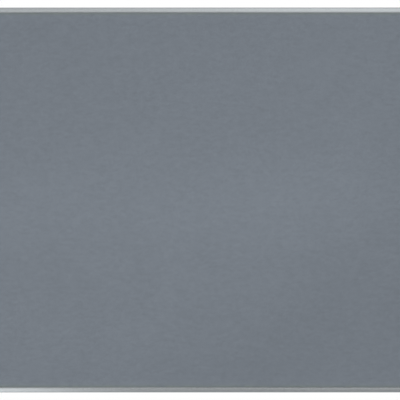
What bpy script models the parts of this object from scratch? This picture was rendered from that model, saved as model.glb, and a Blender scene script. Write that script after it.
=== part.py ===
"""Felt noticeboard in a slim aluminium frame, built as the separate pieces it is assembled from.

Metres, +Z up. The board faces -Y and the wall is the plane Y = 0. The origin is the middle of the
board on that plane. A section of the frame is drawn in two measures: "in", from the board's outer
edge towards its middle, and "back", from the front face towards the wall.
"""

import math

import bmesh
import bpy
from mathutils import Matrix, Vector

# Overall size, and the gap that pieces keep where they touch
BOARD_WIDTH = 1.200
BOARD_HEIGHT = 0.900
FIT_GAP = 0.0003

# The pin panel, from front to back
FELT_THICKNESS = 0.0015
GLUE_LINE = 0.0003
SOFTBOARD_THICKNESS = 0.0080
HARDBOARD_THICKNESS = 0.0025
PANEL_EDGE_GAP = 0.0004

# The frame extrusion
FACE_WIDTH = 0.0125
FACE_CROWN_RADIUS = 0.120
EDGE_RADIUS = 0.0020
LIP_THICKNESS = 0.0014
LIP_CHAMFER_WIDTH = 0.0022
LIP_CHAMFER_DEPTH = 0.0009
RAIL_WALL = 0.0012
TUBE_WIDTH = 0.0052
CHANNEL_WIDTH = 0.0132
CHANNEL_DEPTH = 0.0045
SLOT_WIDTH = 0.0080
REAR_EDGE_RADIUS = 0.0006

# The moulded corners and their tongues
CORNER_SHOULDER = 0.0040
CORNER_RADIUS = 0.0140
WINDOW_RADIUS = 0.0020
MOULD_WALL = 0.0018
REAR_POCKET_DEPTH = 0.0045
RIB_THICKNESS = 0.0012
TONGUE_LENGTH = 0.0320
TONGUE_ROOT = 0.0012
TONGUE_TIP_CHAMFER = 0.0012

# The self-tapping screws that lock the tongues
SCREW_INSET = 0.0140
SCREW_RADIUS = 0.00145
SCREW_LENGTH = 0.0095
SCREW_POINT = 0.0020
SCREW_HEAD_RADIUS = 0.0026
SCREW_HEAD_HEIGHT = 0.0017
SCREW_HEAD_ROUNDING = 0.0010
CROSS_DEPTH = 0.0010
CROSS_LENGTH = 0.0026
CROSS_WIDTH = 0.0007

# The push-in rubber bumpers
BUMPER_RADIUS = 0.0065
BUMPER_ROUNDING = 0.0016
STEM_RADIUS = 0.0022
STEM_LENGTH = 0.0050
STEM_CHAMFER = 0.0006
BOSS_WALL = 0.0020

# The hangers that slide in the top rail's rear channel
HANGER_INSET = 0.2000
HANGER_THICKNESS = 0.0025
HANGER_WIDTH = 0.0360
HANGER_CORNER_RADIUS = 0.0040
SCREW_HEAD_CLEARANCE = 0.0008
BOLT_TO_KEYHOLE = 0.0360
KEYHOLE_TO_BOTTOM = 0.0110
KEYHOLE_RADIUS = 0.0050
KEYHOLE_NECK = 0.0050
KEYHOLE_RISE = 0.0130
BOLT_RADIUS = 0.0020
BOLT_HEAD_RADIUS = 0.0039
BOLT_SINK = 0.0001
BOLT_SOCKET_WIDTH = 0.0025
BOLT_SOCKET_DEPTH = 0.0015

# Facets of round shapes, and what working meshes need
ARC_STEPS = 6
SMALL_ARC_STEPS = 3
CORNER_STEPS = 12
TURNED_STEPS = 24
HEXAGON = 6
SHARP_ANGLE = math.radians(32)
FLAT_ANGLE = math.radians(0.5)
ROUND_PROFILE_SHARE = 0.5
MERGE = 0.00001
OVERRUN = 0.0020

# Sizes that follow from the ones above
PANEL_THICKNESS = FELT_THICKNESS + GLUE_LINE + SOFTBOARD_THICKNESS + GLUE_LINE + HARDBOARD_THICKNESS
GROOVE_FLOOR = RAIL_WALL + TUBE_WIDTH + RAIL_WALL
GROOVE_BACK = LIP_THICKNESS + FIT_GAP + PANEL_THICKNESS + FIT_GAP
CHANNEL_FRONT = GROOVE_BACK + RAIL_WALL
CHANNEL_BACK = CHANNEL_FRONT + CHANNEL_DEPTH
FRAME_DEPTH = CHANNEL_BACK + RAIL_WALL
RAIL_WIDTH = GROOVE_FLOOR + CHANNEL_WIDTH + RAIL_WALL
SLOT_MIDDLE = GROOVE_FLOOR + CHANNEL_WIDTH / 2
TUBE_MIDDLE = RAIL_WALL + TUBE_WIDTH / 2
BOLT_TO_TOP = SLOT_MIDDLE - TUBE_MIDDLE - SCREW_HEAD_RADIUS - SCREW_HEAD_CLEARANCE
PANEL_INSET = GROOVE_FLOOR + PANEL_EDGE_GAP
PANEL_FRONT = LIP_THICKNESS + FIT_GAP
CORNER_LEG = RAIL_WIDTH + CORNER_SHOULDER
STANDOFF = FIT_GAP + HANGER_THICKNESS
FRONT_Y = -(STANDOFF + FRAME_DEPTH)
BUMPER_PLACE = CORNER_LEG / 2
BOSS_HOLE_RADIUS = STEM_RADIUS + FIT_GAP

# Colours (linear), roughness and metallic value of each finish
FINISHES = {
    "felt": ((0.178, 0.203, 0.233), 0.95, 0.0),
    "softboard": ((0.420, 0.300, 0.180), 0.95, 0.0),
    "hardboard": ((0.235, 0.130, 0.068), 0.75, 0.0),
    "aluminium": ((0.560, 0.580, 0.590), 0.35, 1.0),
    "corner_plastic": ((0.400, 0.415, 0.425), 0.50, 0.0),
    "zinc_steel": ((0.600, 0.600, 0.570), 0.35, 1.0),
    "rubber": ((0.030, 0.030, 0.032), 0.80, 0.0),
}

# The frame goes round in quarter turns about +Y: its sides from the left one, and its corners from
# the bottom left one, each with the way to it from the middle of the board
SIDES = {"left": (-1, 0), "top": (0, 1), "right": (1, 0), "bottom": (0, -1)}
CORNERS = {"bottom_left": (-1, -1), "top_left": (-1, 1), "top_right": (1, 1), "bottom_right": (1, -1)}
QUARTER_TURN = math.radians(90)
FACING_WALL = Matrix.Rotation(-QUARTER_TURN, 4, "X")

PARTS = bpy.data.collections.new("felt_noticeboard")


def clear_scene():
    for obj in list(bpy.data.objects):
        bpy.data.objects.remove(obj)
    bpy.context.scene.collection.children.link(PARTS)


def finish(name):
    """The Principled material of one finish, made once."""
    material = bpy.data.materials.get(name)
    if material is None:
        colour, roughness, metallic = FINISHES[name]
        material = bpy.data.materials.new(name)
        material.use_nodes = True
        shader = material.node_tree.nodes["Principled BSDF"]
        shader.inputs["Base Color"].default_value = (*colour, 1)
        shader.inputs["Roughness"].default_value = roughness
        shader.inputs["Metallic"].default_value = metallic
    return material


def place(name, mesh, finish_name, where, parent=None):
    """Adds one piece of the noticeboard, placed by a matrix. Pieces that are alike share a mesh."""
    if not mesh.materials:
        mesh.materials.append(finish(finish_name))
    piece = bpy.data.objects.new(name, mesh)
    piece.parent = parent
    piece.matrix_local = where
    PARTS.objects.link(piece)


def at(x, y, z):
    return Matrix.Translation((x, y, z))


def baked(obj):
    """The mesh of a working object with its modifiers and place applied. The object is removed."""
    PARTS.objects.link(obj)
    graph = bpy.context.evaluated_depsgraph_get()
    mesh = bpy.data.meshes.new_from_object(obj.evaluated_get(graph))
    mesh.transform(obj.matrix_world)
    bpy.data.objects.remove(obj)
    work = bmesh.new()
    work.from_mesh(mesh)
    bmesh.ops.remove_doubles(work, verts=work.verts, dist=MERGE)
    bmesh.ops.recalc_face_normals(work, faces=work.faces)
    work.to_mesh(mesh)
    work.free()
    mesh.shade_smooth()
    mesh.set_sharp_from_angle(angle=SHARP_ANGLE)
    return mesh


def combined(mesh, others, operation):
    """The mesh after a Boolean with each of the others in turn."""
    for other in others:
        target = bpy.data.objects.new("target", mesh)
        tool = bpy.data.objects.new("tool", other)
        PARTS.objects.link(tool)
        boolean = target.modifiers.new(operation.lower(), "BOOLEAN")
        boolean.operation = operation
        boolean.object = tool
        mesh = baked(target)
        bpy.data.objects.remove(tool)
    return mesh


def cut(mesh, *cutters):
    return combined(mesh, cutters, "DIFFERENCE")


def joined(mesh, *others):
    return combined(mesh, others, "UNION")


def arc(centre, radius, start, end, steps=ARC_STEPS):
    """Points of an arc between two angles in degrees, both ends included."""
    angles = [math.radians(start + (end - start) * step / steps) for step in range(steps + 1)]
    return [(centre[0] + radius * math.cos(a), centre[1] + radius * math.sin(a)) for a in angles]


def rounded_rectangle(low, high, radius, steps=ARC_STEPS):
    left, bottom = low[0] + radius, low[1] + radius
    right, top = high[0] - radius, high[1] - radius
    return (
        arc((right, top), radius, 0, 90, steps)
        + arc((left, top), radius, 90, 180, steps)
        + arc((left, bottom), radius, 180, 270, steps)
        + arc((right, bottom), radius, 270, 360, steps)
    )


def bar(outlines, length):
    """A mesh with a section drawn in X and Y, the first outline less the others, centred along Z."""
    curve = bpy.data.curves.new("section", "CURVE")
    curve.dimensions = "2D"
    curve.fill_mode = "BOTH"
    curve.extrude = length / 2
    for outline in outlines:
        spline = curve.splines.new("POLY")
        spline.points.add(len(outline) - 1)
        spline.use_cyclic_u = True
        for point, (x, y) in zip(spline.points, outline):
            point.co = (x, y, 0, 1)
    return baked(bpy.data.objects.new("section", curve))


def slab(outlines, front, back):
    """A mesh with an outline drawn in X and Z, from one depth along Y to another."""
    mesh = bar(outlines, back - front)
    mesh.transform(at(0, (front + back) / 2, 0) @ Matrix.Rotation(QUARTER_TURN, 4, "X"))
    return mesh


def box(low, high):
    """A box between two corners, from a unit cube."""
    low, high = Vector(low), Vector(high)
    work = bmesh.new()
    bmesh.ops.create_cube(work, size=1)
    bmesh.ops.scale(work, vec=high - low, verts=work.verts)
    bmesh.ops.translate(work, vec=(low + high) / 2, verts=work.verts)
    mesh = bpy.data.meshes.new("box")
    work.to_mesh(mesh)
    work.free()
    return mesh


def rod(radius, low, high, sides=TURNED_STEPS):
    """A cylinder or, with few sides, a prism, standing along Z between two heights."""
    work = bmesh.new()
    bmesh.ops.create_cone(
        work, cap_ends=True, segments=sides, radius1=radius, radius2=radius, depth=high - low
    )
    bmesh.ops.translate(work, vec=(0, 0, (low + high) / 2), verts=work.verts)
    mesh = bpy.data.meshes.new("rod")
    work.to_mesh(mesh)
    work.free()
    return mesh


def drill(radius, front, back, x, z):
    """A cutter for a round hole along Y, from one depth to another."""
    mesh = rod(radius, front, back)
    mesh.transform(at(x, 0, z) @ FACING_WALL)
    return mesh


def bevelled(mesh, is_edge, width, steps):
    """The mesh with the edges that pass a test rounded off or, with one step, chamfered."""
    work = bmesh.new()
    work.from_mesh(mesh)
    bmesh.ops.dissolve_limit(work, angle_limit=FLAT_ANGLE, verts=work.verts, edges=work.edges)
    bmesh.ops.bevel(
        work,
        geom=[edge for edge in work.edges if is_edge(edge)],
        offset=width,
        segments=steps,
        profile=ROUND_PROFILE_SHARE,
        affect="EDGES",
    )
    work.to_mesh(mesh)
    work.free()
    return mesh


def turned(profile):
    """A solid of revolution about Z, from (radius, height) points that run down the outer side."""
    mesh = bpy.data.meshes.new("profile")
    last = len(profile) - 1
    mesh.from_pydata([(r, 0, z) for r, z in profile], [(i, i + 1) for i in range(last)], [])
    obj = bpy.data.objects.new("profile", mesh)
    screw = obj.modifiers.new("turn", "SCREW")
    screw.steps = TURNED_STEPS
    screw.render_steps = TURNED_STEPS
    screw.use_merge_vertices = True
    screw.merge_threshold = MERGE
    return baked(obj)


# The frame rails


def crowned_face():
    """The face of a rail in (in, back): a rounded outer edge that runs tangent into a slight crown."""
    face_end = FACE_WIDTH - LIP_CHAMFER_WIDTH
    crown_centre = Vector((face_end / 2, FACE_CROWN_RADIUS))
    reach = FACE_CROWN_RADIUS - EDGE_RADIUS
    across = crown_centre.x - EDGE_RADIUS
    edge_centre = Vector((EDGE_RADIUS, FACE_CROWN_RADIUS - math.sqrt(reach**2 - across**2)))
    meeting = 270 - math.degrees(math.asin(across / reach))
    ending = 270 + math.degrees(math.asin((face_end - crown_centre.x) / FACE_CROWN_RADIUS))
    edge = arc(edge_centre, EDGE_RADIUS, 180, meeting)
    crown = arc(crown_centre, FACE_CROWN_RADIUS, meeting, ending)
    return edge + crown[1:]


def rail_section():
    """The outline of the extrusion: crowned face and lip, panel groove, and rear channel."""
    slot_low = SLOT_MIDDLE - SLOT_WIDTH / 2
    slot_high = SLOT_MIDDLE + SLOT_WIDTH / 2
    channel_end = GROOVE_FLOOR + CHANNEL_WIDTH
    rear = REAR_EDGE_RADIUS
    outline = crowned_face() + [
        (FACE_WIDTH, LIP_CHAMFER_DEPTH),
        (FACE_WIDTH, LIP_THICKNESS),
        (GROOVE_FLOOR, LIP_THICKNESS),
        (GROOVE_FLOOR, GROOVE_BACK),
        (RAIL_WIDTH, GROOVE_BACK),
    ]
    outline += arc((RAIL_WIDTH - rear, FRAME_DEPTH - rear), rear, 0, 90, SMALL_ARC_STEPS)
    outline += [
        (slot_high, FRAME_DEPTH),
        (slot_high, CHANNEL_BACK),
        (channel_end, CHANNEL_BACK),
        (channel_end, CHANNEL_FRONT),
        (GROOVE_FLOOR, CHANNEL_FRONT),
        (GROOVE_FLOOR, CHANNEL_BACK),
        (slot_low, CHANNEL_BACK),
        (slot_low, FRAME_DEPTH),
    ]
    outline += arc((rear, FRAME_DEPTH - rear), rear, 90, 180, SMALL_ARC_STEPS)
    return outline


def rail(length):
    """One rail along Z, its outer edge on X = 0, with a screw hole near each end."""
    end = length / 2 + OVERRUN
    tube = box((RAIL_WALL, LIP_THICKNESS, -end), (RAIL_WALL + TUBE_WIDTH, CHANNEL_BACK, end))
    screw_place = length / 2 - SCREW_INSET
    holes = [
        drill(SCREW_RADIUS + FIT_GAP, CHANNEL_BACK - OVERRUN, FRAME_DEPTH + OVERRUN, TUBE_MIDDLE, z)
        for z in (-screw_place, screw_place)
    ]
    return cut(bar([rail_section()], length), tube, *holes)


def round_the_frame(ways):
    """The name and place of each side or corner, a quarter turn further each time."""
    for count, (name, (way_x, way_z)) in enumerate(ways.items()):
        outer = at(way_x * BOARD_WIDTH / 2, FRONT_Y, way_z * BOARD_HEIGHT / 2)
        yield name, outer @ Matrix.Rotation(count * QUARTER_TURN, 4, "Y")


def build_rails():
    across = rail(BOARD_WIDTH - 2 * (CORNER_LEG + FIT_GAP))
    upright = rail(BOARD_HEIGHT - 2 * (CORNER_LEG + FIT_GAP))
    for side, where in round_the_frame(SIDES):
        place(f"{side}_rail", across if side in ("top", "bottom") else upright, "aluminium", where)


# The moulded corners


def corner_outline(inset):
    """The corner's plan in (along X, along Z), drawn in from the outer corner by an inset."""
    centre = (CORNER_RADIUS, CORNER_RADIUS)
    end = CORNER_LEG - inset
    bend = arc(centre, CORNER_RADIUS - inset, 180, 270, CORNER_STEPS)
    return bend + [(end, inset), (end, end), (inset, end)]


def corner_body():
    """The full-depth block of a corner, with the rails' rounded edge along its outer front."""

    def along_outer_front(edge):
        return all(v.co.y < MERGE and min(v.co.x, v.co.z) < CORNER_RADIUS for v in edge.verts)

    block = slab([corner_outline(0)], 0, FRAME_DEPTH)
    return bevelled(block, along_outer_front, EDGE_RADIUS, ARC_STEPS)


def window_ring(work, back, grow):
    """One ring of the window cutter, wider by grow, at a depth behind the face."""
    centre = FACE_WIDTH + WINDOW_RADIUS
    far = CORNER_LEG + OVERRUN
    radius = WINDOW_RADIUS + grow
    near = centre - radius
    outline = arc((centre, centre), radius, 180, 270) + [(far, near), (far, far), (near, far)]
    ring = [work.verts.new((x, back, z)) for x, z in outline]
    return [work.edges.new((ring[i - 1], ring[i])) for i in range(len(ring))]


def window_cutter():
    """The opening over the felt, splayed at the front like the rails' inner chamfer."""
    work = bmesh.new()
    rings = [
        window_ring(work, -LIP_CHAMFER_DEPTH, 2 * LIP_CHAMFER_WIDTH),
        window_ring(work, LIP_CHAMFER_DEPTH, 0),
        window_ring(work, LIP_THICKNESS + FIT_GAP, 0),
    ]
    for first, second in zip(rings, rings[1:]):
        bmesh.ops.bridge_loops(work, edges=first + second)
    bmesh.ops.contextual_create(work, geom=rings[0])
    bmesh.ops.contextual_create(work, geom=rings[-1])
    bmesh.ops.recalc_face_normals(work, faces=work.faces)
    mesh = bpy.data.meshes.new("window")
    work.to_mesh(mesh)
    work.free()
    return mesh


def panel_pocket():
    """The room for the panel's square corner."""
    far = CORNER_LEG + OVERRUN
    return box((GROOVE_FLOOR, LIP_THICKNESS, GROOVE_FLOOR), (far, GROOVE_BACK, far))


def rear_pocket():
    """The moulding's cored back: a tray less the bumper's boss and two ribs."""
    floor = FRAME_DEPTH - REAR_POCKET_DEPTH
    front, back = floor - OVERRUN, FRAME_DEPTH + 2 * OVERRUN
    half = RIB_THICKNESS / 2
    low, high = BUMPER_PLACE - half, BUMPER_PLACE + half
    return cut(
        slab([corner_outline(MOULD_WALL)], floor, FRAME_DEPTH + OVERRUN),
        drill(BOSS_HOLE_RADIUS + BOSS_WALL, front, back, BUMPER_PLACE, BUMPER_PLACE),
        box((0, front, low), (CORNER_LEG, back, high)),
        box((low, front, 0), (high, back, CORNER_LEG)),
    )


def tongue():
    """The tongue along X that a rail's tube slides over, cored on both sides of its screw boss."""
    tip = CORNER_LEG + TONGUE_LENGTH
    low = Vector((CORNER_LEG - TONGUE_ROOT, LIP_THICKNESS + FIT_GAP, RAIL_WALL + FIT_GAP))
    high = Vector((tip, CHANNEL_BACK - FIT_GAP, RAIL_WALL + TUBE_WIDTH - FIT_GAP))

    def around_tip(edge):
        return all(v.co.x > tip - MERGE for v in edge.verts)

    screw_place = CORNER_LEG + FIT_GAP + SCREW_INSET
    hole = SCREW_RADIUS + FIT_GAP
    pilot_end = FRAME_DEPTH - SCREW_LENGTH - FIT_GAP
    boss = hole + MOULD_WALL
    core_ends = (
        (CORNER_LEG + MOULD_WALL, screw_place - boss),
        (screw_place + boss, tip - TONGUE_TIP_CHAMFER - MOULD_WALL),
    )
    cores = [
        box(
            (start, low.y + MOULD_WALL, low.z + RIB_THICKNESS),
            (end, high.y - MOULD_WALL, high.z + OVERRUN),
        )
        for start, end in core_ends
    ]
    return cut(
        bevelled(box(low, high), around_tip, TONGUE_TIP_CHAMFER, 1),
        drill(hole, pilot_end, FRAME_DEPTH + OVERRUN, screw_place, TUBE_MIDDLE),
        *cores,
    )


def corner():
    """One moulded corner, its outer corner at the origin and its legs along +X and +Z."""
    swap_legs = Matrix(((0, 0, 1, 0), (0, 1, 0, 0), (1, 0, 0, 0), (0, 0, 0, 1)))
    first = tongue()
    second = first.copy()
    second.transform(swap_legs)
    second.flip_normals()
    stem_end = FRAME_DEPTH - STEM_LENGTH - FIT_GAP
    body = cut(
        corner_body(),
        panel_pocket(),
        window_cutter(),
        rear_pocket(),
        drill(BOSS_HOLE_RADIUS, stem_end, FRAME_DEPTH + OVERRUN, BUMPER_PLACE, BUMPER_PLACE),
    )
    return joined(body, first, second)


def pan_screw():
    """A self-tapping screw that points down Z, its head's underside at the origin."""
    rim = SCREW_HEAD_RADIUS - SCREW_HEAD_ROUNDING
    rim_height = SCREW_HEAD_HEIGHT - SCREW_HEAD_ROUNDING
    head = [(0, SCREW_HEAD_HEIGHT)]
    head += arc((rim, rim_height), SCREW_HEAD_ROUNDING, 90, 0, SMALL_ARC_STEPS)
    shank = [(SCREW_RADIUS, 0), (SCREW_RADIUS, SCREW_POINT - SCREW_LENGTH), (0, -SCREW_LENGTH)]
    long, short = CROSS_LENGTH / 2, CROSS_WIDTH / 2
    top, bottom = SCREW_HEAD_HEIGHT + OVERRUN, SCREW_HEAD_HEIGHT - CROSS_DEPTH
    blades = (
        box((-long, -short, bottom), (long, short, top)),
        box((-short, -long, bottom), (short, long, top)),
    )
    return cut(turned(head + [(SCREW_HEAD_RADIUS, 0)] + shank), joined(*blades))


def bumper():
    """A rubber bumper with a push-in stem down Z, its pad's underside at the origin."""
    pad = STANDOFF - FIT_GAP
    rim = BUMPER_RADIUS - BUMPER_ROUNDING
    profile = [(0, pad)]
    profile += arc((rim, pad - BUMPER_ROUNDING), BUMPER_ROUNDING, 90, 0, SMALL_ARC_STEPS)
    profile += [
        (BUMPER_RADIUS, 0),
        (STEM_RADIUS, 0),
        (STEM_RADIUS, STEM_CHAMFER - STEM_LENGTH),
        (STEM_RADIUS - STEM_CHAMFER, -STEM_LENGTH),
        (0, -STEM_LENGTH),
    ]
    return turned(profile)


def build_corners():
    """The four corners, each with its bumper and a screw through the rail on either leg."""
    moulding, screw, pad = corner(), pan_screw(), bumper()
    rear = FRAME_DEPTH + FIT_GAP
    along = CORNER_LEG + FIT_GAP + SCREW_INSET
    for count, (name, where) in enumerate(round_the_frame(CORNERS)):
        place(f"corner_{name}", moulding, "corner_plastic", where)
        seat = where @ at(BUMPER_PLACE, rear, BUMPER_PLACE)
        place(f"bumper_{name}", pad, "rubber", seat @ FACING_WALL)
        legs = ("across", "upright") if count % 2 == 0 else ("upright", "across")
        for leg, (x, z) in zip(legs, ((along, TUBE_MIDDLE), (TUBE_MIDDLE, along))):
            hole = where @ at(x, rear, z)
            place(f"corner_screw_{name}_{leg}", screw, "zinc_steel", hole @ FACING_WALL)


# The pin panel


def build_panel():
    """Felt, softboard and hardboard, glued face to face and held in the frame's groove."""
    half_width = BOARD_WIDTH / 2 - PANEL_INSET
    half_height = BOARD_HEIGHT / 2 - PANEL_INSET
    front = FRONT_Y + PANEL_FRONT
    layers = (
        ("felt_facing", FELT_THICKNESS, "felt"),
        ("softboard_core", SOFTBOARD_THICKNESS, "softboard"),
        ("hardboard_back", HARDBOARD_THICKNESS, "hardboard"),
    )
    for name, thickness, finish_name in layers:
        layer = box((-half_width, 0, -half_height), (half_width, thickness, half_height))
        place(name, layer, finish_name, at(0, front, 0))
        front += thickness + GLUE_LINE


# The hangers


def keyhole_outline():
    """The keyhole below the bolt at the origin: a round entry with a narrow neck above it."""
    neck = KEYHOLE_NECK / 2
    lean = math.degrees(math.asin(neck / KEYHOLE_RADIUS))
    entry = arc((0, -BOLT_TO_KEYHOLE), KEYHOLE_RADIUS, 90 + lean, 450 - lean, TURNED_STEPS)
    top = arc((0, KEYHOLE_RISE - BOLT_TO_KEYHOLE), neck, 0, 180)
    return entry + top


def hanger_plate():
    """The steel plate behind the rail, the bolt's axis at the origin, countersunk for its head."""
    low = (-HANGER_WIDTH / 2, -BOLT_TO_KEYHOLE - KEYHOLE_TO_BOTTOM)
    high = (HANGER_WIDTH / 2, BOLT_TO_TOP)
    outline = rounded_rectangle(low, high, HANGER_CORNER_RADIUS)
    mesh = slab([outline, keyhole_outline()], 0, HANGER_THICKNESS)
    hole = BOLT_RADIUS + FIT_GAP
    head = BOLT_HEAD_RADIUS + FIT_GAP
    top = HANGER_THICKNESS + OVERRUN
    cone_end = HANGER_THICKNESS - (head - hole)
    cone = turned([(0, top), (head + OVERRUN, top), (hole, cone_end), (hole, -OVERRUN), (0, -OVERRUN)])
    cone.transform(FACING_WALL)
    return cut(mesh, cone)


def channel_nut():
    """The nut that slides in the rail's channel, in the rail's section measures, centred along Z."""
    half = CHANNEL_WIDTH / 2 - FIT_GAP
    neck = SLOT_WIDTH / 2 - FIT_GAP
    front = CHANNEL_FRONT + FIT_GAP
    shoulder = CHANNEL_BACK - FIT_GAP
    outline = [
        (SLOT_MIDDLE - half, front),
        (SLOT_MIDDLE + half, front),
        (SLOT_MIDDLE + half, shoulder),
        (SLOT_MIDDLE + neck, shoulder),
        (SLOT_MIDDLE + neck, FRAME_DEPTH - FIT_GAP),
        (SLOT_MIDDLE - neck, FRAME_DEPTH - FIT_GAP),
        (SLOT_MIDDLE - neck, shoulder),
        (SLOT_MIDDLE - half, shoulder),
    ]
    mesh = bar([outline], HANGER_WIDTH)
    thread = drill(BOLT_RADIUS + FIT_GAP, front - OVERRUN, FRAME_DEPTH + OVERRUN, SLOT_MIDDLE, 0)
    return cut(mesh, thread)


def countersunk_bolt():
    """A socket bolt down Z, its head's top at the origin."""
    length = STANDOFF - BOLT_SINK + FRAME_DEPTH - CHANNEL_FRONT - 2 * FIT_GAP
    cone = BOLT_HEAD_RADIUS - BOLT_RADIUS
    mesh = turned(
        [(0, 0), (BOLT_HEAD_RADIUS, 0), (BOLT_RADIUS, -cone), (BOLT_RADIUS, -length), (0, -length)]
    )
    socket_radius = BOLT_SOCKET_WIDTH / math.sqrt(3)
    return cut(mesh, rod(socket_radius, -BOLT_SOCKET_DEPTH, OVERRUN, HEXAGON))


def build_hangers():
    """Two hangers, each a plate bolted to a nut that slides along the top rail's channel."""
    plate, nut, bolt = hanger_plate(), channel_nut(), countersunk_bolt()
    bolt_height = BOARD_HEIGHT / 2 - SLOT_MIDDLE
    for side, way in (("left", -1), ("right", 1)):
        slide = bpy.data.objects.new(f"hanger_{side}_slide", None)
        slide.location = (way * (BOARD_WIDTH / 2 - HANGER_INSET), 0, bolt_height)
        PARTS.objects.link(slide)
        place(f"hanger_plate_{side}", plate, "zinc_steel", at(0, -HANGER_THICKNESS, 0), slide)
        in_channel = at(0, FRONT_Y, SLOT_MIDDLE) @ Matrix.Rotation(QUARTER_TURN, 4, "Y")
        place(f"hanger_nut_{side}", nut, "zinc_steel", in_channel, slide)
        place(f"hanger_bolt_{side}", bolt, "zinc_steel", at(0, -BOLT_SINK, 0) @ FACING_WALL, slide)


clear_scene()
build_rails()
build_corners()
build_panel()
build_hangers()
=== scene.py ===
"""Felt noticeboard: the finish of every piece, the felt facing, and the stage that it is seen on.

Metres, +Z up. The board faces -Y and the wall that it hangs on is the plane Y = 0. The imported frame
gives every piece but the felt facing, which is made here as a sheet of its own.
"""

import math
from typing import NamedTuple

import bmesh
import bpy
from bpy.props import FloatProperty, FloatVectorProperty, IntProperty, PointerProperty
from mathutils import Matrix, Vector, noise


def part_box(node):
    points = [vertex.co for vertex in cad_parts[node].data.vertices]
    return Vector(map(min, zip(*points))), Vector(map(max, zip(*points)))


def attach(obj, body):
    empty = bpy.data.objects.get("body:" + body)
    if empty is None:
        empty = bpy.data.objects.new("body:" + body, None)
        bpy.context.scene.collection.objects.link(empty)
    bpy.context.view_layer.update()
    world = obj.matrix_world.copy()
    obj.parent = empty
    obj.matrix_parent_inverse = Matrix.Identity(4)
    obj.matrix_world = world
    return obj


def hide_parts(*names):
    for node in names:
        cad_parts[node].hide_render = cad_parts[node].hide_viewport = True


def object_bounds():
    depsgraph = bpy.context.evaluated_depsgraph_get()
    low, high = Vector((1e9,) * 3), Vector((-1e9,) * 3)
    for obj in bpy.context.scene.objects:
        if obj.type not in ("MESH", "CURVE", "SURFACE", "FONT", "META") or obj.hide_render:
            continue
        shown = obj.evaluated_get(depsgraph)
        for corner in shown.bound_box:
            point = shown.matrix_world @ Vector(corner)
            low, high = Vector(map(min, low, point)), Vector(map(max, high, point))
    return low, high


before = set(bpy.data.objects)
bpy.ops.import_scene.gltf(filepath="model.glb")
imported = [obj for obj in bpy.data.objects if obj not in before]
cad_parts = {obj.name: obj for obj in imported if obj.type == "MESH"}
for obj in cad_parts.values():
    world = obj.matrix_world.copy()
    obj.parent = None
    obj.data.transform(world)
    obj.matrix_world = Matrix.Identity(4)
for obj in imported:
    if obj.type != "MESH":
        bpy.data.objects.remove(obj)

bl_info = {
    "name": "Felt Noticeboard",
    "version": (1, 0, 0),
    "blender": (4, 5, 0),
    "location": "3D View > Sidebar > Noticeboard",
    "description": "Finishes a packed felt noticeboard and sets up the stage that it is seen on",
    "category": "Object",
}

CAD_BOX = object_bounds()
FELT_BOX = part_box("felt_facing")


def packed(start):
    """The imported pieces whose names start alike, in order."""
    return sorted(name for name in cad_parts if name.startswith(start))


BOARD = "board"
RAILS_ACROSS = ("top_rail", "bottom_rail")
RAILS_UPRIGHT = ("left_rail", "right_rail")
CORNER_SCREWS = packed("corner_screw")
CORNERS = [name for name in packed("corner") if name not in CORNER_SCREWS]
BUMPERS = packed("bumper")
HANGERS = packed("hanger")

RIGHT, BACK, UP = (1, 0, 0), (0, 1, 0), (0, 0, 1)
WHITE = (1, 1, 1)


# Sizes and colours that a user would change


def colour(name, default, description):
    return FloatVectorProperty(
        name=name, description=description, default=default, subtype="COLOR", size=3, min=0, max=1
    )


def length(name, default, description):
    return FloatProperty(
        name=name,
        description=description,
        default=default,
        min=0,
        precision=5,
        subtype="DISTANCE",
        unit="LENGTH",
    )


def share(name, default, description):
    return FloatProperty(
        name=name, description=description, default=default, min=0, max=1, subtype="FACTOR"
    )


def brightness(name, default, description):
    return FloatProperty(name=name, description=description, default=default, min=0, precision=3)


class NOTICEBOARD_PG_felt(bpy.types.PropertyGroup):
    colour: colour("Colour", (0.1799, 0.2050, 0.2362), "Colour of the felt seen from a distance")
    fleck: share("Fleck", 0.30, "How much lighter and darker single fibres are")
    mottle: share("Mottle", 0.045, "How much the colour wanders from patch to patch")
    mottle_width: length("Mottle Width", 0.0140, "Width of a patch across the board")
    mottle_height: length("Mottle Height", 0.0070, "Height of a patch")
    fibre_length: length("Fibre Length", 0.0045, "Length of a matted fibre")
    fibre_width: length("Fibre Width", 0.00025, "Width of a matted fibre")
    # Painted light: the felt's colour is made lighter along its edge, beside the frame.
    painted_rim_light: share("Pale Rim", 0.10, "How much lighter the felt is at its edge")
    painted_rim_width: length("Rim Width", 0.0345, "How far in from its edge the felt is lighter")
    grime: share("Grime", 0.50, "How thick the dirt along the frame lies on the felt's edge")
    # This width also sets how far in the painted shadow beside the frame reaches.
    grime_and_shadow_width: length("Grime Width", 0.0125, "How far in from its edge the felt holds dirt")
    grid: length("Grid", 0.0040, "Spacing of the mesh over the face of the felt")
    unevenness: length("Unevenness", 0.00006, "How far the face of the felt sinks or stands up")
    seed: IntProperty(name="Seed", description="Picks the pattern of the unevenness", default=7)


class NOTICEBOARD_PG_rails(bpy.types.PropertyGroup):
    colour: colour("Colour", (0.515, 0.548, 0.565), "Colour of the anodised aluminium")
    roughness: share("Roughness", 0.25, "Roughness of the anodised face")
    grain: share("Grain", 0.60, "How much the drawn surface stretches a reflection")
    line_pitch: length("Line Pitch", 0.00022, "Spacing of the lines that the die leaves")
    line_depth: length("Line Depth", 0.000002, "Depth of the lines that the die leaves")
    soft_edge: length("Soft Edge", 0.00015, "Width of the break along sharp edges")


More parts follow.
